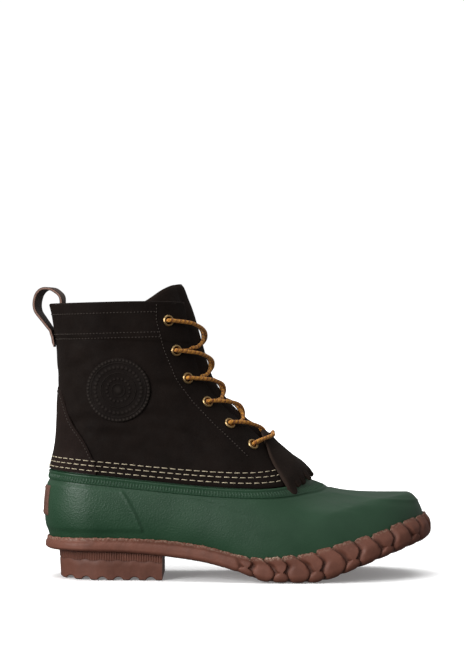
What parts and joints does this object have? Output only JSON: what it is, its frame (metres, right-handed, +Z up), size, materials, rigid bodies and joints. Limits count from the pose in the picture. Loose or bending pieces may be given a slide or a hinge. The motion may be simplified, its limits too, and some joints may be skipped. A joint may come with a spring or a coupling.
{
  "type": "duck boot",
  "caption": "Ankle-high duck boot for the right foot: hollow rubber shell on a heeled sole, laced leather shaft with tongue, fringed flap and pull loop.",
  "frame": {"origin": "on the floor under the middle of the heel", "axes": "+X towards the toe, +Y towards the inner side of the foot, +Z up"},
  "size_m": [0.3119, 0.1101, 0.2261],
  "materials": {
    "gum_rubber": "matte gum rubber",
    "green_rubber": "dark green rubber with a fine pebble grain",
    "insole": "matte footbed",
    "shaft_leather": "matte brushed leather",
    "strap_leather": "satin leather with a raw reddish edge",
    "eyelet_brass": "aged brass",
    "lace": "round woven lace"
  },
  "bodies": {
    "root": {"outsole": "gum_rubber", "heel_label": "gum_rubber", "rubber_shell": "green_rubber", "insole": "insole", "upper": "shaft_leather", "heel_counter": "shaft_leather", "tongue": "shaft_leather", "kiltie": "shaft_leather", "side_patch": "shaft_leather", "pull_loop": "strap_leather", "eyelet_lateral_1": "eyelet_brass", "eyelet_lateral_2": "eyelet_brass", "eyelet_lateral_3": "eyelet_brass", "eyelet_lateral_4": "eyelet_brass", "eyelet_lateral_5": "eyelet_brass", "eyelet_lateral_6": "eyelet_brass", "eyelet_medial_1": "eyelet_brass", "eyelet_medial_2": "eyelet_brass", "eyelet_medial_3": "eyelet_brass", "eyelet_medial_4": "eyelet_brass", "eyelet_medial_5": "eyelet_brass", "eyelet_medial_6": "eyelet_brass", "lace_cross_1": "lace", "lace_cross_2": "lace", "lace_cross_3": "lace", "lace_cross_4": "lace", "lace_cross_5": "lace", "lace_bar": "lace"}
  },
  "joints": []
}
